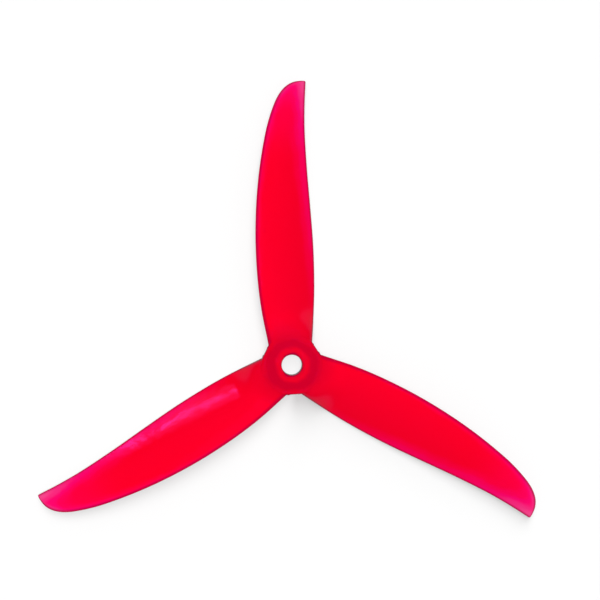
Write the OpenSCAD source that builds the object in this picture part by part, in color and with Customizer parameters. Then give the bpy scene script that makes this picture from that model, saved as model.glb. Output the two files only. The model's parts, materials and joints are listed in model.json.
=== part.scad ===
// Three-blade propeller of the 5.5 inch class for a multirotor motor with an M5 shaft.
// One injection moulding: a cored hub with three swept, twisted and cambered blades.
// Frame: origin on the hub axis at the motor seat, +Z towards the shaft nut, blade 1 along +Y.
// It turns anticlockwise seen from +Z, so a blade's leading edge is its anticlockwise side.

/* [Rotor] */
// Diameter of the circle that the blade tips sweep
tip_d = 139.7; // [110:0.1:170]
// Distance that the propeller would screw forward in one turn
pitch_l = 110; // [80:1:135]

/* [Hub] */
// Outer diameter of the hub
hub_d = 14.8; // [12:0.1:18]
// Height of the nut seat above the motor seat
hub_h = 7; // [5.8:0.1:9]
// Diameter of the shaft bore
bore_d = 5; // [4.1:0.1:6]
// Width of the flat ring that the nut clamps
seat_w = 1.6; // [1.2:0.1:1.9]
// Step from the nut seat down to the hub's rim
seat_step = 0.5; // [0.3:0.1:1]
// Width of the flat rim outside the sloping shoulder
rim_w = 1.2; // [0.8:0.1:1.5]
// Rounding of the hub's outer edges
edge_r = 0.4; // [0.2:0.05:0.6]
// Chamfer at each end of the bore
bore_chamfer = 0.3; // [0.1:0.05:0.5]

/* [Hub coring] */
// Wall around the bore
bore_wall = 1.4; // [1:0.1:1.7]
// Wall between the coring and the hub's outside
skirt_wall = 1.2; // [0.9:0.1:1.5]
// Thickness left above the coring, measured at the rim
roof_t = 1.2; // [0.8:0.1:2]
// Thickness of each rib across the coring
rib_t = 0.9; // [0.6:0.1:1.2]
// Number of ribs
rib_count = 6; // [3:1:6]

/* [Blade] */
// Angle on the hub from a blade's axis to the leading side of its root
root_lead_deg = 49; // [42:1:50]
// Angle on the hub from a blade's axis to the trailing side of its root
root_trail_deg = 42; // [36:1:46]
// Radius where the blade skins run into the hub wall
root_fillet = 0.5; // [0.3:0.05:0.6]
// Hub wall left between the ends of a root and the rounding of the hub's edges
root_margin = 0.4; // [0.3:0.05:0.6]
// Hub height that the blade's chord leaves free above and below
blade_clear = 0.4; // [0.2:0.1:0.8]
// Thickness of the blade at its root
root_t = 2; // [1.6:0.1:2.2]
// Thickness of the blade at its tip
tip_t = 0.95; // [0.6:0.05:1.2]
// Thickness of the blade along its rounded edges
edge_t = 0.42; // [0.3:0.02:0.5]
// Rise of the camber line as a share of the chord
camber = 0.045; // [0.02:0.005:0.07]
// Length over which the sections straighten out from the round hub wall
root_blend = 12; // [8:1:20]
// Length over which the leading edge rolls over into the tip
tip_roll = 10; // [6:1:14]

/* [Hidden] */
$fn = 96;
blade_count = 3;
blade_colour = [0.97, 0.02, 0.16];
hub_colour = [0.84, 0.02, 0.14];

hub_r = hub_d / 2;
bore_r = bore_d / 2;
tip_r = tip_d / 2;
rim_h = hub_h - seat_step;
seat_r = bore_r + seat_w;
shoulder_r = hub_r - rim_w;
core_in_r = bore_r + bore_wall;
core_out_r = hub_r - skirt_wall;
core_h = rim_h - roof_t;
cut = 0.01;

// The root's chord line climbs the hub wall from its trailing end to its leading end
root_lead = hub_r * sin(root_lead_deg);
root_trail = -hub_r * sin(root_trail_deg);
root_low = edge_r + root_margin;
root_high = rim_h - edge_r - root_margin - root_fillet;
root_slope = (root_high - root_low) / (root_lead - root_trail);
axis_h = root_high - root_lead * root_slope;

// Corner where the rolled-over leading edge meets the trailing edge, on the tip circle
tip_trail = -3.3;
reach = sqrt(tip_r ^ 2 - tip_trail ^ 2);
span = reach - hub_r;

// Plan of the blade: share of the span, then leading and trailing edge beside the blade's axis
LEAD = 1;
TRAIL = 2;
stations = [
    [0.00, root_lead, root_trail],
    [0.10, 7.35, -5.45],
    [0.20, 8.30, -5.60],
    [0.35, 8.90, -5.30],
    [0.50, 8.80, -4.55],
    [0.65, 8.00, -3.70],
    [0.80, 6.45, -3.10],
    [0.90, 4.75, -3.05],
    [1.00, 3.20, tip_trail]
];

// Spacing of the blade's mesh
half_points = 24;
fillet_rings = 4;
body_rings = 22;
tip_rings = 10;

// ---- Smooth interpolation through the stations ----

function last_row(f, i = 0) = i + 2 >= len(stations) || f < stations[i + 1][0] ? i : last_row(f, i + 1);

function tangent(i, col) =
    let (a = max(i - 1, 0), b = min(i + 1, len(stations) - 1))
    (stations[b][col] - stations[a][col]) / (stations[b][0] - stations[a][0]);

function station(f, col) =
    let (
        i = last_row(f),
        width = stations[i + 1][0] - stations[i][0],
        u = (f - stations[i][0]) / width,
        from = stations[i][col],
        to = stations[i + 1][col]
    )
    from * (1 + 2 * u) * (1 - u) ^ 2 + to * u * u * (3 - 2 * u)
    + width * (tangent(i, col) * u * (1 - u) ^ 2 - tangent(i + 1, col) * u * u * (1 - u));

// ---- Blade sections, at a distance d from the hub wall ----

// How far a fillet reaches out at this distance from the wall
function fillet(d) = d >= root_fillet ? 0 : root_fillet - sqrt(root_fillet ^ 2 - (root_fillet - d) ^ 2);

// Share of the chord left where the leading edge rolls over into the tip
function tip_share(d) =
    let (rolled = max(0, (d - span + tip_roll) / tip_roll))
    (1 - min(rolled, 1) ^ 3) ^ 0.35;

// Slope of the chord across the blade: the helix of the pitch, flattened to fit the hub's height
function chord_slope(d, width) =
    let (
        helix = pitch_l / (2 * PI * (hub_r + d)),
        room = (hub_h - 2 * blade_clear) / width,
        outer = (helix ^ -4 + room ^ -4) ^ -0.25,
        root = max(0, 1 - d / root_blend) ^ 2
    )
    outer * (1 - root) + root_slope * root;

function thickness(f) = tip_t + (root_t - tip_t) * (1 - f) ^ 1.3;

// Half thickness at this share of the chord from the leading edge, with round edges
function half_thickness(c, chord, thick) =
    let (
        body = edge_t / 2 + (thick - edge_t) / 2 * sin(180 * c ^ 0.7) ^ 1.1,
        from_edge = min(c, 1 - c) * chord,
        cap = 1 - min(from_edge / edge_t, 1)
    )
    body * sqrt(1 - cap * cap);

// A point of a section, at angle a round it from the trailing edge over the top
function section_point(d, a) =
    let (
        f = d / span,
        grow = fillet(d),
        left = tip_share(d),
        trail = station(f, TRAIL) - grow,
        lead = trail + (station(f, LEAD) + grow - trail) * left,
        slope = chord_slope(d, station(f, LEAD) - station(f, TRAIL)),
        pitch = atan(slope),
        chord = (lead - trail) / cos(pitch),
        c = (1 + cos(a)) / 2,
        side = sin(a) >= 0 ? 1 : -1,
        thick = edge_t + (thickness(f) - edge_t) * left + 2 * grow,
        rise = 4 * camber * chord * c * (1 - c) + side * half_thickness(c, chord, thick),
        across = lead - c * (lead - trail),
        y = across - rise * sin(pitch),
        z = axis_h + across * slope + rise * cos(pitch),
        wall_y = d == 0 ? y : section_point(0, a)[1],
        bend = hub_r - sqrt(hub_r ^ 2 - wall_y ^ 2)
    )
    [hub_r + d - bend * max(0, 1 - d / root_blend) ^ 2, y, z];

function section(d) = [for (k = [0 : 2 * half_points - 1]) section_point(d, 180 * k / half_points)];

// Distances from the hub wall of the rings that the blade is built on
function fillet_spacing() = [for (i = [0 : fillet_rings - 1]) root_fillet * (i / fillet_rings) ^ 1.5];
function body_spacing() =
    let (length = span - tip_roll - root_fillet)
    [for (i = [0 : body_rings - 1]) root_fillet + length * i / body_rings];
function tip_spacing() = [for (i = [0 : tip_rings - 1]) span - tip_roll + tip_roll * sin(90 * i / tip_rings)];

module blade_body() {
    rings = concat(fillet_spacing(), body_spacing(), tip_spacing());
    around = 2 * half_points;
    last = len(rings) - 1;
    tip_h = axis_h + tip_trail * chord_slope(span, stations[len(stations) - 1][LEAD] - tip_trail);
    points = concat([for (d = rings) each section(d)], [[reach, tip_trail, tip_h]]);
    skin = [
        for (i = [0 : last - 1], k = [0 : around - 1])
            let (a = i * around + k, b = i * around + (k + 1) % around)
            each [[a, b, a + around], [b, b + around, a + around]]
    ];
    root_cap = [
        for (k = [0 : half_points - 1])
            let (a = k, b = k + 1, c = around - 1 - k, e = (around - k) % around)
            each concat(k > 0 ? [[a, e, b]] : [], k < half_points - 1 ? [[b, e, c]] : [])
    ];
    base = last * around;
    tip_cap = [for (k = [0 : around - 1]) [base + k, base + (k + 1) % around, len(points) - 1]];
    polyhedron(points, concat(tip_cap, skin, root_cap), convexity = 6);
}

module blade(number) {
    color(blade_colour) rotate([0, 0, 90 + 360 / blade_count * (number - 1)]) blade_body();
}

// ---- Hub ----

// Quarter round of the hub's outer edge, about this centre, from angle a to angle b
function edge_round(r, z, a, b, steps = 6) =
    [for (i = [0 : steps]) let (t = a + (b - a) * i / steps) [r + edge_r * cos(t), z + edge_r * sin(t)]];

module hub_profile() {
    polygon(concat(
        [[bore_r + bore_chamfer, 0], [bore_r, bore_chamfer], [bore_r, hub_h - bore_chamfer]],
        [[bore_r + bore_chamfer, hub_h], [seat_r, hub_h], [shoulder_r, rim_h]],
        edge_round(hub_r - edge_r, rim_h - edge_r, 90, 0),
        edge_round(hub_r - edge_r, edge_r, 0, -90)
    ));
}

module rib(number) {
    rotate([0, 0, 30 + 360 / rib_count * number])
        translate([0, -rib_t / 2, -cut])
            cube([hub_r, rib_t, core_h + 3 * cut]);
}

module coring() {
    translate([0, 0, -cut]) difference() {
        cylinder(r = core_out_r, h = core_h + cut);
        translate([0, 0, -cut]) cylinder(r = core_in_r, h = core_h + 3 * cut);
        for (i = [0 : rib_count - 1]) rib(i);
    }
}

module hub() {
    color(hub_colour) difference() {
        rotate_extrude() hub_profile();
        coring();
    }
}

hub();
blade(1);  // blade_1
blade(2);  // blade_2
blade(3);  // blade_3
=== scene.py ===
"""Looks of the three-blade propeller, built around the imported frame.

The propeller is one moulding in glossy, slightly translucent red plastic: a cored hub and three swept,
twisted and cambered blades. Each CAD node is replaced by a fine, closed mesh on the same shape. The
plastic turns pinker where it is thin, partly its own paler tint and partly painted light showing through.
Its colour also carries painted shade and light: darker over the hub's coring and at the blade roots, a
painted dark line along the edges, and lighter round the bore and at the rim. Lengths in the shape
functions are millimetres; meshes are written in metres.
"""
import json
import math

import bmesh
import bpy
from mathutils import Matrix, Vector


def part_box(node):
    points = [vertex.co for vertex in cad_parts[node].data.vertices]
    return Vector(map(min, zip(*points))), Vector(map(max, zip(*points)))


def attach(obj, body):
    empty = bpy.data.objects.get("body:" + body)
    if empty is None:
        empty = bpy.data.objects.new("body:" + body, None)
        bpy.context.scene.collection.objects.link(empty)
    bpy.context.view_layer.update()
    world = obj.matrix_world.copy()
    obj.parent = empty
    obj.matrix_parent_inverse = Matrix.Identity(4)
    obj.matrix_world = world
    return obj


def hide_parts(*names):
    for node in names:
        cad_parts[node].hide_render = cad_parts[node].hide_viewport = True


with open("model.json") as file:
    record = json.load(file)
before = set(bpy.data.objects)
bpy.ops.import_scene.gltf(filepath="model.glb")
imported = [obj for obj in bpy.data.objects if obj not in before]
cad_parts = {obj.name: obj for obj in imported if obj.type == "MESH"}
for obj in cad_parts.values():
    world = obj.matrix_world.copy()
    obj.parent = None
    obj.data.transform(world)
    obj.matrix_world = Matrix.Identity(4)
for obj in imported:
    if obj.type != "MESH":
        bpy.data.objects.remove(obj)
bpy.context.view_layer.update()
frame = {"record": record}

MM = 0.001
mounts = {m["name"]: m for m in frame["record"]["mounts"]}

# ---- Sizes read from the frame ----
BLADES = ["blade_1", "blade_2", "blade_3"]
first_blade_deg = 90
blade_step_deg = 360 / len(BLADES)
hub_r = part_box("hub")[1].x / MM
hub_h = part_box("hub")[1].z / MM
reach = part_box("blade_1")[1].y / MM
span = reach - hub_r

# ---- Hub ----
bore_r = mounts["shaft_bore"]["dims"]["r_mm"]
seat_w = 1.6
seat_step = 0.5
rim_w = 1.2
edge_r = 0.4
bore_chamfer = 0.3
bore_wall = 1.4
skirt_wall = 1.2
roof_t = 1.2
rib_t = 0.9
rib_count = 6
first_rib_deg = 30
# Radii that soften the corners of the bore's lower end and of the seat, and the flat beside the coring
bore_soft_r = 0.08
seat_soft_r = 0.3
mouth_margin = 0.3
# Where the rim's rounding starts to fade beside a gap between two roots, and over what length
crown_start = 0.2
crown_run = 0.6

seat_r = bore_r + seat_w
shoulder_r = hub_r - rim_w
rim_h = hub_h - seat_step
core_in_r = bore_r + bore_wall
core_out_r = hub_r - skirt_wall
core_h = rim_h - roof_t

# ---- Blade ----
# The root is sunk into the hub, and a web raises its upper skin to the rim
pitch_l = 110
root_lead_deg = 49
root_trail_deg = 42
root_fillet = 0.5
root_margin = 0.4
root_sink = 0.7
web_l = 8
web_drop = 0.02
web_power = 0.25
blade_clear = 0.4
root_t = 2
tip_t = 0.95
edge_t = 0.42
camber = 0.045
root_blend = 12
tip_trail = -3.3
# The leading edge rolls over into the tip along this length, on a curve with these powers
tip_roll = 10
roll_in = 3
roll_out = 0.35
# Length of the rounding at the tip's trailing corner, and the point beside the axis where it ends
tip_corner = 0.4
tip_end = -2.5

root_lead = hub_r * math.sin(math.radians(root_lead_deg))
root_trail = -hub_r * math.sin(math.radians(root_trail_deg))
root_low = edge_r + root_margin
root_high = rim_h - edge_r - root_margin - root_fillet
root_slope = (root_high - root_low) / (root_lead - root_trail)
axis_h = root_high - root_lead * root_slope

# Plan of the blade: share of the span, then leading and trailing edge beside the blade's axis
LEAD = 1
TRAIL = 2
stations = [
    (0.00, root_lead, root_trail),
    (0.10, 7.35, -5.45),
    (0.20, 8.30, -5.60),
    (0.35, 8.90, -5.30),
    (0.50, 8.80, -4.55),
    (0.65, 8.00, -3.70),
    (0.80, 6.45, -3.10),
    (0.90, 4.75, -3.05),
    (1.00, 3.20, tip_trail),
]

# Spacing of the blade's mesh
around = 88
fillet_rings = 8
body_rings = 72
tip_rings = 44


# ---- Meshes ----

def make_object(name, mesh_data):
    """A smooth object in the row frame, from points in millimetres and faces."""
    points, faces = mesh_data
    mesh = bpy.data.meshes.new(name)
    mesh.from_pydata([tuple(MM * x for x in p) for p in points], [], faces)
    work = bmesh.new()
    work.from_mesh(mesh)
    bmesh.ops.recalc_face_normals(work, faces=work.faces)
    work.to_mesh(mesh)
    work.free()
    mesh.shade_smooth()
    piece = bpy.data.objects.new(name, mesh)
    bpy.context.scene.collection.objects.link(piece)
    return piece


def add_values(piece, name, values):
    """A number for each point of the mesh, which the material reads by name."""
    attribute = piece.data.attributes.new(name, "FLOAT", "POINT")
    attribute.data.foreach_set("value", values)


# ---- Blade shape, at a distance d from the hub wall ----

def tangent(row, column):
    """Slope of the plan's curve at a station."""
    before = stations[max(row - 1, 0)]
    after = stations[min(row + 1, len(stations) - 1)]
    return (after[column] - before[column]) / (after[0] - before[0])


def station(share, column):
    """Smooth curve through the plan's stations."""
    row = max(i for i in range(len(stations) - 1) if i == 0 or share >= stations[i][0])
    width = stations[row + 1][0] - stations[row][0]
    u = (share - stations[row][0]) / width
    start, stop = stations[row][column], stations[row + 1][column]
    line = start * (1 + 2 * u) * (1 - u) ** 2 + stop * u * u * (3 - 2 * u)
    bow = tangent(row, column) * u * (1 - u) ** 2 - tangent(row + 1, column) * u * u * (1 - u)
    return line + width * bow


def fillet(d):
    """How far the root fillet reaches out at this distance from the wall."""
    if d >= root_fillet:
        return 0
    return root_fillet - math.sqrt(root_fillet ** 2 - (root_fillet - d) ** 2)


def tip_share(d):
    """Share of the chord left where the leading edge rolls over into the tip."""
    rolled = min(max(0, (d - span + tip_roll) / tip_roll), 1)
    return (1 - rolled ** roll_in) ** roll_out


def blade_length():
    """Distance at which the rolled leading edge has come down to the middle of the tip."""
    left = (tip_end - tip_trail) / (stations[-1][LEAD] - tip_trail)
    return span - tip_roll * (1 - (1 - left ** (1 / roll_out)) ** (1 / roll_in))


length = blade_length()


def plan_edges(d):
    """Leading and trailing edge beside the blade's axis, with the tip's trailing corner rounded."""
    share = min(d / span, 1)
    trail = station(share, TRAIL) - fillet(d)
    lead = trail + (station(share, LEAD) + fillet(d) - trail) * tip_share(d)
    corner = min(max(0, 1 - (length - d) / tip_corner), 1)
    return lead, tip_end + (trail - tip_end) * (1 - corner ** 2) ** 0.2


def edge_lean(d):
    """How far each edge moves across for each step along the span."""
    step = 0.002
    outer = min(d + step, length)
    ahead = plan_edges(outer)
    behind = plan_edges(max(outer - 2 * step, 0))
    return [(a - b) / (2 * step) for a, b in zip(ahead, behind)]


def chord_slope(d):
    """Slope of the chord: the helix of the pitch, flattened to fit the hub's height."""
    share = min(d / span, 1)
    width = station(share, LEAD) - station(share, TRAIL)
    helix = pitch_l / (2 * math.pi * (hub_r + d))
    room = (hub_h - 2 * blade_clear) / width
    outer = (helix ** -4 + room ** -4) ** -0.25
    root = max(0, 1 - d / root_blend) ** 2
    return outer * (1 - root) + root_slope * root


def section(d):
    """The ring of points at this distance, each with its thickness there and its distance to the outline.

    Only the lower skin flares into the root fillet: the upper one is raised into the rim by web_lift.
    """
    lead, trail = plan_edges(d)
    lean_lead, lean_trail = (math.hypot(1, lean) for lean in edge_lean(d))
    share = min(d / span, 1)
    left = (lead - trail) / (station(share, LEAD) - station(share, TRAIL) + 2 * fillet(d))
    full = tip_t + (root_t - tip_t) * (1 - share) ** 1.3
    thick = edge_t + (full - edge_t) * min(left, 1)
    slope = chord_slope(d)
    pitch = math.atan(slope)
    chord = (lead - trail) / math.cos(pitch)
    ring = []
    for k in range(around):
        angle = 2 * math.pi * k / around
        c = (1 + math.cos(angle)) / 2
        gap = min(c * chord / lean_lead, (1 - c) * chord / lean_trail)
        cap = 1 - min(gap / edge_t, 1)
        flare = 0 if k < around // 2 else fillet(d)
        fullness = max(0, math.sin(math.pi * c ** 0.7)) ** 1.1
        body = edge_t / 2 + ((thick - edge_t) / 2 + flare) * fullness
        half = body * math.sqrt(1 - cap * cap)
        rise = 4 * camber * chord * c * (1 - c) + math.copysign(half, math.sin(angle))
        across = lead - c * (lead - trail)
        y = across - rise * math.sin(pitch)
        z = axis_h + across * slope + rise * math.cos(pitch)
        ring.append((hub_r + d, y, z, 2 * body, gap))
    return ring


def blade_distances():
    """Distances from the hub wall of the blade's rings, closest at the fillet and at the tip."""
    fillet_part = [root_fillet * (i / fillet_rings) ** 1.6 for i in range(fillet_rings)]
    body_l = length - tip_roll - root_fillet
    body_part = [root_fillet + body_l * (i / body_rings) ** 1.15 for i in range(body_rings)]
    tip_part = [length - tip_roll * (1 - math.sin(math.pi / 2 * i / tip_rings)) for i in range(tip_rings)]
    return fillet_part + body_part + tip_part


def eased(share):
    """A step from 0 to 1, level at both ends."""
    x = min(max(share, 0), 1)
    return x ** 3 * (10 - 15 * x + 6 * x * x)


def web_lift(k, z, d):
    """How far the root's upper skin is raised here, so that it runs flush into the hub's rim."""
    if k == 0 or k >= around // 2:
        return 0
    across = math.sin(2 * math.pi * k / around) ** web_power
    return (rim_h - web_drop - z) * eased(1 - d / web_l) * across


def bent(ring, wall_ring, d):
    """The ring wrapped round the hub wall near the root, straightening out along the blade."""
    fade = max(0, 1 - d / root_blend) ** 2
    placed = []
    for k, ((x, y, z, thick, gap), wall) in enumerate(zip(ring, wall_ring)):
        lift = web_lift(k, z, d)
        bend = hub_r - math.sqrt(hub_r ** 2 - wall[1] ** 2)
        placed.append((x - fade * bend, y, z + lift, thick + lift, gap))
    return placed


def blade_mesh():
    """Closed mesh of one blade along +X, with its thickness and outline distance at each point."""
    wall_ring = section(0)
    rings = [bent(section(d), wall_ring, d) for d in blade_distances()]
    highest = rim_h - 2 * web_drop
    rings.insert(0, [(x - root_sink, y, min(z, highest), *values) for x, y, z, *values in rings[0]])
    end_h = axis_h + tip_end * chord_slope(length)
    points = [p for ring in rings for p in ring] + [(hub_r + length, tip_end, end_h, edge_t, 0)]
    faces = []
    for i in range(len(rings) - 1):
        for k in range(around):
            a, b = i * around + k, i * around + (k + 1) % around
            faces.append((a, b, b + around, a + around))
    base = (len(rings) - 1) * around
    faces += [(base + k, base + (k + 1) % around, len(points) - 1) for k in range(around)]
    faces += root_cap()
    return points, faces


def root_cap():
    """Faces across the sunk end of the root, from the upper skin to the lower one."""
    half = around // 2
    inner = [(k, k + 1, around - 1 - k, around - k) for k in range(1, half - 1)]
    return inner + [(0, 1, around - 1), (half - 1, half, half + 1)]


def make_blade(number, blade_data):
    """One blade, turned to its place round the hub."""
    points, faces = blade_data
    turn = Matrix.Rotation(math.radians(first_blade_deg + blade_step_deg * number), 4, "Z")
    placed = [turn @ Vector(p[:3]) for p in points]
    piece = make_object(f"moulded_blade_{number + 1}", (placed, faces))
    add_values(piece, "thickness", [p[3] for p in points])
    add_values(piece, "edge_gap", [p[4] for p in points])
    return piece


# ---- Hub shape ----

def softened(outline, radius, steps=4):
    """An open outline with each of its inner corners rounded."""
    soft = [outline[0]]
    for before, corner, after in zip(outline, outline[1:], outline[2:]):
        corner_v, before_v, after_v = Vector(corner), Vector(before), Vector(after)
        reach_in = min(radius, (before_v - corner_v).length / 2.2, (after_v - corner_v).length / 2.2)
        start = corner_v + (before_v - corner_v).normalized() * reach_in
        stop = corner_v + (after_v - corner_v).normalized() * reach_in
        for i in range(steps + 1):
            t = i / steps
            soft.append(tuple((1 - t) ** 2 * start + 2 * t * (1 - t) * corner_v + t * t * stop))
    return soft + [outline[-1]]


def edge_round(r, z, start_deg, stop_deg, steps=8):
    """Round of the hub's outer edge about this centre."""
    angles = [math.radians(start_deg + (stop_deg - start_deg) * i / steps) for i in range(steps + 1)]
    return [(r + edge_r * math.cos(t), z + edge_r * math.sin(t)) for t in angles]


# The coring's wall, as steps into the pocket and the height there: a rounded mouth, a drafted wall and
# a rounded corner at the floor
POCKET_WALL = [
    (-0.14, 0), (-0.09, 0.01), (-0.04, 0.05), (0, 0.14),
    (0.07, core_h - 0.32), (0.13, core_h - 0.12), (0.24, core_h - 0.03), (0.42, core_h),
]


def pocket_height(step):
    """Height of the coring's surface at this distance into the pocket from its nearest wall."""
    if step <= POCKET_WALL[0][0]:
        return 0
    for (a, low), (b, high) in zip(POCKET_WALL, POCKET_WALL[1:]):
        if step <= b:
            return low + (high - low) * (step - a) / (b - a)
    return core_h


def hub_rings():
    """The hub's section, once round: radius, and either a height or a distance into the coring."""
    outer_steps = [step for step, _ in POCKET_WALL]
    middle = (core_out_r - core_in_r) / 2
    under = softened([
        (bore_r, hub_h / 2), (bore_r, bore_chamfer), (bore_r + bore_chamfer, 0),
        (core_in_r - mouth_margin, 0),
    ], bore_soft_r)
    skirt = [(core_out_r + mouth_margin, 0)] + edge_round(hub_r - edge_r, edge_r, -90, 0)
    wall = [(hub_r, edge_r + (rim_h - 2 * edge_r) * i / 6) for i in range(1, 6)]
    crown = edge_round(hub_r - edge_r, rim_h - edge_r, 0, 90)
    top = softened([
        (hub_r - edge_r - 0.1, rim_h), (shoulder_r, rim_h), (seat_r, hub_h),
        (bore_r + bore_chamfer, hub_h), (bore_r, hub_h - bore_chamfer), (bore_r, hub_h - 1),
    ], seat_soft_r)
    solid = [(r, z, None) for r, z in under]
    solid += [(core_in_r + s, 0, s) for s in outer_steps] + [(core_in_r + middle, 0, middle)]
    solid += [(core_out_r - s, 0, s) for s in reversed(outer_steps)]
    solid += [(r, z, None) for r, z in skirt + wall + crown + top]
    return solid


def rib_columns(r):
    """Angles from one rib's middle to the next one's, with each column's distance into the pocket."""
    radius = min(max(r, core_in_r), core_out_r)
    pitch_angle = 2 * math.pi / rib_count
    sides = [-rib_t / 2] + [step for step, _ in POCKET_WALL]
    half = [math.asin((rib_t / 2 + step) / radius) for step in sides]
    open_columns = 7
    last = half[-1]
    half += [last + (pitch_angle / 2 - last) * i / open_columns for i in range(1, open_columns + 1)]
    angles = half + [pitch_angle - a for a in reversed(half[1:-1])]
    depths = [radius * math.sin(min(a, pitch_angle - a)) - rib_t / 2 for a in angles]
    return list(zip(angles, depths))


# The gaps between the roots, as angles round the hub
blade_step = math.radians(blade_step_deg)
half_gap = math.radians(blade_step_deg - root_lead_deg - root_trail_deg) / 2
gap_middle = math.radians(first_blade_deg + root_lead_deg) + half_gap


def from_gap(angle):
    """Angle from here to the middle of the nearest gap between two roots."""
    return abs((angle - gap_middle + blade_step / 2) % blade_step - blade_step / 2)


def beside_gap(angle):
    """Distance round the hub's outside from here to the nearest gap."""
    return max(0, from_gap(angle) - half_gap) * hub_r


def flattened(r, angle):
    """Radius where the hub's outside runs straight from one root to the next."""
    flat = hub_r * math.cos(half_gap) / math.cos(from_gap(angle))
    share = max(0, (r - shoulder_r) / (hub_r - shoulder_r))
    return r - share * max(0, hub_r - flat)


def outline_gap(r, angle, height):
    """Distance to the part of the hub's rim that shows between the roots."""
    below = max(0, rim_h - edge_r - height)
    return math.hypot(hub_r - r, beside_gap(angle), below)


def crown_height(z, angle):
    """Height on the hub's rounded top edge, which stays sharp where a root runs into it."""
    if z <= rim_h - edge_r - 0.001 or z >= rim_h:
        return z
    return z + (rim_h - z) * eased((beside_gap(angle) - crown_start) / crown_run)


def hub_mesh():
    """Closed mesh of the hub, with each point's distance to its outside.

    Rings go once round the hub's section and columns once round its axis.
    """
    rings = hub_rings()
    points = []
    for r, z, step in rings:
        for rib in range(rib_count):
            start = math.radians(first_rib_deg) + 2 * math.pi * rib / rib_count
            for angle, depth in rib_columns(r):
                turn = start + angle
                height = crown_height(z, turn) if step is None else pocket_height(min(step, depth))
                flat_r, gap = flattened(r, turn), outline_gap(r, turn, height)
                points.append((flat_r * math.cos(turn), flat_r * math.sin(turn), height, gap))
    columns = len(points) // len(rings)
    faces = []
    for i in range(len(rings)):
        for k in range(columns):
            a, b = i * columns + k, i * columns + (k + 1) % columns
            c, d = (i + 1) % len(rings) * columns, (k + 1) % columns
            faces.append((a, b, c + d, c + k))
    return points, faces


# ---- Nodes ----

def node(tree, kind, inputs=None, **settings):
    """A node with its settings, and its inputs linked to a socket or set to a value."""
    made = tree.nodes.new(kind)
    for key, value in settings.items():
        setattr(made, key, value)
    for key, value in (inputs or {}).items():
        if isinstance(value, bpy.types.NodeSocket):
            tree.links.new(value, made.inputs[key])
        else:
            made.inputs[key].default_value = value
    return made


def new_tree(owner):
    """The emptied node tree of a material or a world."""
    owner.use_nodes = True
    owner.node_tree.nodes.clear()
    return owner.node_tree


def calc(tree, operation, *values):
    """A number worked out from sockets or values."""
    return node(tree, "ShaderNodeMath", dict(enumerate(values)), operation=operation).outputs[0]


def spread(tree, value, low, high, to_low=0, to_high=1):
    """A smooth step from one number to another, as the value goes from low to high."""
    inputs = {"Value": value, "From Min": low, "From Max": high, "To Min": to_low, "To Max": to_high}
    made = node(tree, "ShaderNodeMapRange", inputs, interpolation_type="SMOOTHSTEP")
    return made.outputs[0]


def linear(red, green, blue):
    """A colour given as 0 to 255 on screen, as the linear values that a shader takes."""
    shares = [c / 255 for c in (red, green, blue)]
    return tuple(s / 12.92 if s <= 0.04045 else ((s + 0.055) / 1.055) ** 2.4 for s in shares) + (1,)


def ramp(tree, value, stops):
    """A colour ramp through stops of place and colour."""
    made = node(tree, "ShaderNodeValToRGB", {"Fac": value})
    elements = made.color_ramp.elements
    while len(elements) < len(stops):
        elements.new(0.5)
    for element, (place, colour) in zip(elements, stops):
        element.position = place
        element.color = colour
    made.color_ramp.interpolation = "EASE"
    return made.outputs[0]


def mixed(tree, share, a, b):
    """Colour a turning into colour b."""
    return node(tree, "ShaderNodeMix", {0: share, 6: a, 7: b}, data_type="RGBA").outputs[2]


def blended(tree, share, a, b):
    """Number a turning into number b."""
    return node(tree, "ShaderNodeMix", {0: share, 2: a, 3: b}, data_type="FLOAT").outputs[0]


def seen_directly(tree):
    """1 for rays from the camera, also through something clear, and 0 for all others."""
    path = node(tree, "ShaderNodeLightPath")
    return calc(tree, "MAXIMUM", path.outputs["Is Camera Ray"], path.outputs["Is Transmission Ray"])


# ---- Materials ----

WHITE = (1, 1, 1, 1)
RED = linear(249, 0, 37)
# Painted shade: darker red at the blade roots and over the hub's coring, and a dark line along the edges
ROOT_SHADE = linear(226, 1, 36)
CORING_SHADE = linear(208, 0, 40)
EDGE_SHADE = linear(180, 0, 52)
# From the full red to the palest pink at the tips: partly the thin plastic's own paler tint, partly
# painted light showing through thin plastic
PINKER = [
    (0, RED), (0.25, linear(252, 0, 60)), (0.45, linear(251, 2, 84)),
    (0.62, linear(249, 6, 107)), (0.8, linear(246, 42, 125)), (1, linear(242, 72, 140)),
]


def noise(tree, coordinates, scale, detail=2, roughness=0.5):
    inputs = {"Vector": coordinates, "Scale": scale, "Detail": detail, "Roughness": roughness}
    return node(tree, "ShaderNodeTexNoise", inputs).outputs["Fac"]


def radius_mm(tree, coordinates):
    """Distance from the hub axis."""
    flat = node(tree, "ShaderNodeVectorMath", {0: coordinates, 1: (1, 1, 0)}, operation="MULTIPLY")
    distance = node(tree, "ShaderNodeVectorMath", {0: flat.outputs[0]}, operation="LENGTH")
    return calc(tree, "DIVIDE", distance.outputs["Value"], MM)


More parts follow.
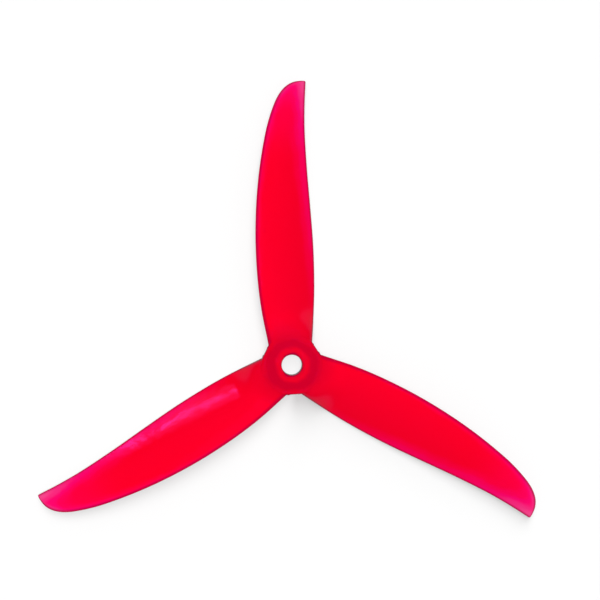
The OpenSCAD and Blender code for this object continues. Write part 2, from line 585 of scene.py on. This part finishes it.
def plastic(name, colour_of):
    """Glossy moulded plastic, whose base colour comes from colour_of(tree, coordinates)."""
    material = bpy.data.materials.new(name)
    tree = new_tree(material)
    coordinates = node(tree, "ShaderNodeTexCoord").outputs["Object"]
    patches = noise(tree, coordinates, 90, 3)
    peel = noise(tree, coordinates, 1400, 2)
    roughness = spread(tree, patches, 0.3, 0.7, 0.07, 0.12)
    swells = noise(tree, coordinates, 130, 2)
    relief = calc(tree, "ADD", calc(tree, "MULTIPLY", swells, 6), calc(tree, "MULTIPLY", peel, 0.3))
    bump = node(tree, "ShaderNodeBump", {"Height": relief, "Strength": 0.3, "Distance": 0.0001})
    shader = node(tree, "ShaderNodeBsdfPrincipled", {
        "Base Color": colour_of(tree, coordinates),
        "Roughness": roughness,
        "Normal": bump.outputs[0],
        "IOR": 1.5,
        "Specular Tint": (1, 0.07, 1, 1),
        "Subsurface Weight": 0.12,
        "Subsurface Radius": (1, 0.08, 0.2),
        "Subsurface Scale": 0.0008,
    })
    node(tree, "ShaderNodeOutputMaterial", {"Surface": shader.outputs[0]})
    return material


def blade_colour(tree, coordinates):
    """Red, pinker where it is thin and towards the tip, partly the plastic's own paler tint and partly
    painted light showing through, with painted shade: darker at the root by the hub and a dark line along
    the rounded edges.
    """
    thickness = node(tree, "ShaderNodeAttribute", attribute_name="thickness").outputs["Fac"]
    gap = node(tree, "ShaderNodeAttribute", attribute_name="edge_gap").outputs["Fac"]
    radius = radius_mm(tree, coordinates)
    wander = spread(tree, noise(tree, coordinates, 160, 3), 0.25, 0.75, -0.06, 0.06)
    # Pinker where thin and towards the tips: partly the plastic's own tint, partly painted light through
    # thin plastic
    thin = spread(tree, calc(tree, "ADD", thickness, wander), 1.05, 0.5)
    thin = calc(tree, "MULTIPLY", thin, spread(tree, radius, 8, 36, 0, 0.45))
    outwards = calc(tree, "MAXIMUM", calc(tree, "DIVIDE", calc(tree, "SUBTRACT", radius, 44), 25), 0)
    tip = calc(tree, "MULTIPLY", calc(tree, "POWER", outwards, 2), 0.53)
    colour = ramp(tree, calc(tree, "ADD", thin, tip), PINKER)
    # Painted shade: the blade darkens towards the hub
    colour = mixed(tree, spread(tree, radius, hub_r + 5, hub_r - 1), colour, ROOT_SHADE)
    # Painted shade: a dark line along the rounded edges
    return mixed(tree, spread(tree, gap, 0.8, 0.1, 0, 0.8), colour, EDGE_SHADE)


def hub_colour(tree, coordinates):
    """Painted light and shade of the translucent hub: lighter round the bore and at the rim, darker over
    the coring, with a painted dark line at the bore's edge and along the outline between the roots.
    """
    wander = spread(tree, noise(tree, coordinates, 220, 2), 0.25, 0.75, -0.5, 0.5)
    radius = calc(tree, "ADD", radius_mm(tree, coordinates), wander)
    place = calc(tree, "DIVIDE", radius, hub_r)
    stops = [
        # Painted dark line at the bore's edge, painted light round the bore and at the rim, painted shade
        # over the coring
        (0.33, EDGE_SHADE), (0.38, linear(226, 3, 37)), (0.46, linear(234, 2, 36)), (0.64, CORING_SHADE),
        (0.76, CORING_SHADE), (0.94, linear(222, 1, 36)), (1, ROOT_SHADE),
    ]
    # Painted shade: a dark line along the hub's outline between the roots
    gap = node(tree, "ShaderNodeAttribute", attribute_name="edge_gap").outputs["Fac"]
    return mixed(tree, spread(tree, gap, 0.4, 0.1, 0, 0.8), ramp(tree, place, stops), EDGE_SHADE)


# ---- Light, floor and camera ----

# Light that a level surface gets from all round and from overhead
ambient = 0.54
top_share = 0.57
# Light that only the floor gets, from the lamps that cast the shadow
fill_share = 0.5
key_share = 0.75
side_share = 0.9
# Share of the floor's white that no shadow takes away in the open; at the bottom of the bore it is
# higher, painted light that fills the bore's shadow
floor_glow = 0.38
bore_painted_light = 0.7
# Brightness of the open floor, as the camera sees it and as it lights the plastic from below
floor_white = 1.01
floor_unseen = 0.35


def towards(azimuth_deg, zenith_deg):
    """Direction at one angle round from +X and another down from straight up."""
    azimuth, zenith = math.radians(azimuth_deg), math.radians(zenith_deg)
    level = math.sin(zenith)
    return Vector((level * math.cos(azimuth), level * math.sin(azimuth), math.cos(zenith)))


def dot(tree, a, b):
    return node(tree, "ShaderNodeVectorMath", {0: a, 1: b}, operation="DOT_PRODUCT").outputs["Value"]


def softbox(tree, sky, azimuth_deg, zenith_deg, inner_deg, outer_deg, strength):
    """A round patch of light in the sky, full inside one angle and gone past the other."""
    facing = dot(tree, sky, towards(azimuth_deg, zenith_deg))
    edge, full = math.cos(math.radians(outer_deg)), math.cos(math.radians(inner_deg))
    return spread(tree, facing, edge, full, 0, strength)


def strip(tree, sky, start, stop, width_deg, strength):
    """A strip of light in the sky between two directions."""
    middle, side = (start + stop).normalized(), start.cross(stop).normalized()
    half = start.angle(stop) / 2
    along = dot(tree, sky, middle)
    across = dot(tree, sky, side)
    ends = spread(tree, along, math.cos(half + math.radians(1.5)), math.cos(half), 0, strength)
    width = math.sin(math.radians(width_deg))
    return calc(tree, "MULTIPLY", ends, spread(tree, calc(tree, "ABSOLUTE", across), width, width / 3))


def studio_light():
    """A pale studio with soft light all round.

    In the gloss it is dark above a dim horizon, with two softboxes and a strip of light.
    """
    world = bpy.data.worlds.new("studio")
    bpy.context.scene.world = world
    world.cycles.sampling_method = "NONE"
    tree = new_tree(world)
    sky = node(tree, "ShaderNodeTexCoord").outputs["Generated"]
    height = node(tree, "ShaderNodeSeparateXYZ", {0: sky}).outputs["Z"]
    glossy = node(tree, "ShaderNodeLightPath").outputs["Is Glossy Ray"]
    gloss = spread(tree, height, 0.0, 0.25, 0.35, 0.01)
    gloss = calc(tree, "ADD", gloss, softbox(tree, sky, 121, 62.5, 6, 11, 0.9))
    gloss = calc(tree, "ADD", gloss, softbox(tree, sky, 125.5, 62.5, 1.5, 3.2, 3.0))
    tube = strip(tree, sky, towards(125, 64), towards(127.6, 61.8), 1.4, 2.0)
    gloss = calc(tree, "ADD", gloss, tube)
    level = blended(tree, seen_directly(tree), blended(tree, glossy, ambient, gloss), 1)
    background = node(tree, "ShaderNodeBackground", {"Color": WHITE, "Strength": level})
    node(tree, "ShaderNodeOutputWorld", {"Surface": background.outputs[0]})


def lamp(name, azimuth_deg, zenith_deg, angle_deg, share):
    """A distant lamp that gives a level surface this share of white and stays out of the gloss."""
    data = bpy.data.lights.new(name, "SUN")
    data.angle = math.radians(angle_deg)
    data.energy = share * math.pi / math.cos(math.radians(zenith_deg))
    made = bpy.data.objects.new(name, data)
    bpy.context.scene.collection.objects.link(made)
    made.rotation_euler = towards(azimuth_deg, zenith_deg).to_track_quat("Z", "Y").to_euler()
    made.visible_glossy = False
    return made


def make_lamps(floor, blades):
    """A soft lamp overhead for everything, and three that only cast the shadow on the floor.

    The lower edge of the third blade in the picture lies near the floor, so the shadow beside it comes
    from a lamp further down, which no other piece hides.
    """
    lamp("overhead", 90, 10, 30, top_share)
    receivers = bpy.data.collections.new("shadow_receivers")
    receivers.objects.link(floor)
    fill = lamp("fill", 90, 0, 20, fill_share)
    key = lamp("key", 90, 28, 30, key_share)
    side = lamp("side", 75, 58, 40, side_share)
    for made in (fill, key, side):
        made.light_linking.receiver_collection = receivers
    blockers = bpy.data.collections.new("side_blockers")
    blockers.objects.link(blades[2])
    side.light_linking.blocker_collection = blockers


def floor_material():
    """Pale matt floor, lifted to white where it is seen directly, with painted light at the bottom of the
    bore.
    """
    material = bpy.data.materials.new("pale_floor")
    tree = new_tree(material)
    seen = seen_directly(tree)
    radius = radius_mm(tree, node(tree, "ShaderNodeTexCoord").outputs["Object"])
    # Painted light: the floor brightens at the bottom of the bore
    level = spread(tree, radius, bore_r + 0.3, bore_r - 0.3, floor_glow, bore_painted_light)
    total = ambient + top_share + fill_share + key_share + side_share
    unseen = floor_unseen / total
    share = calc(tree, "DIVIDE", calc(tree, "SUBTRACT", floor_white, level), total)
    paint = mixed(tree, seen, (unseen, unseen, unseen, 1), share)
    diffuse = node(tree, "ShaderNodeBsdfDiffuse", {"Color": paint})
    strength = calc(tree, "MULTIPLY", seen, level)
    glow = node(tree, "ShaderNodeEmission", {"Color": WHITE, "Strength": strength})
    both = node(tree, "ShaderNodeAddShader", {0: diffuse.outputs[0], 1: glow.outputs[0]})
    node(tree, "ShaderNodeOutputMaterial", {"Surface": both.outputs[0]})
    return material


def make_floor():
    """A level floor, 6 m square."""
    half = 3000
    points = [(-half, -half, 0), (half, -half, 0), (half, half, 0), (-half, half, 0)]
    floor = make_object("floor", (points, [(0, 1, 2, 3)]))
    floor.data.materials.append(floor_material())
    return floor


def make_camera():
    """A camera some 0.4 m above the propeller, looking almost straight down on it."""
    data = bpy.data.cameras.new("camera")
    data.lens = 98.06
    data.sensor_width = 36
    data.clip_start = 0.01
    camera = bpy.data.objects.new("camera", data)
    bpy.context.scene.collection.objects.link(camera)
    roll = Matrix.Rotation(math.radians(-0.126), 4, "Z")
    tilt = Matrix.Rotation(math.radians(-0.471), 4, "X")
    lean = Matrix.Rotation(math.radians(1.435), 4, "Y")
    place = Matrix.Translation(MM * Vector((-8.02, 12.55, 403.5)))
    camera.matrix_world = place @ (roll @ tilt @ lean).inverted()
    bpy.context.scene.camera = camera


# ---- The model ----

def make_model():
    """The hub and its blades in place of the CAD nodes. Gives the blades."""
    points, faces = hub_mesh()
    hub = make_object("moulded_hub", ([p[:3] for p in points], faces))
    add_values(hub, "edge_gap", [p[3] for p in points])
    hub.data.materials.append(plastic("hub_plastic", hub_colour))
    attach(hub, "root")
    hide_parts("hub")
    blade_data = blade_mesh()
    blade_material = plastic("blade_plastic", blade_colour)
    blades = []
    for number, cad_node in enumerate(BLADES):
        blade = make_blade(number, blade_data)
        blade.data.materials.append(blade_material)
        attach(blade, "root")
        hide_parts(cad_node)
        blades.append(blade)
    return blades


bpy.context.scene.view_settings.view_transform = "Standard"
make_camera()
studio_light()
make_lamps(make_floor(), make_model())
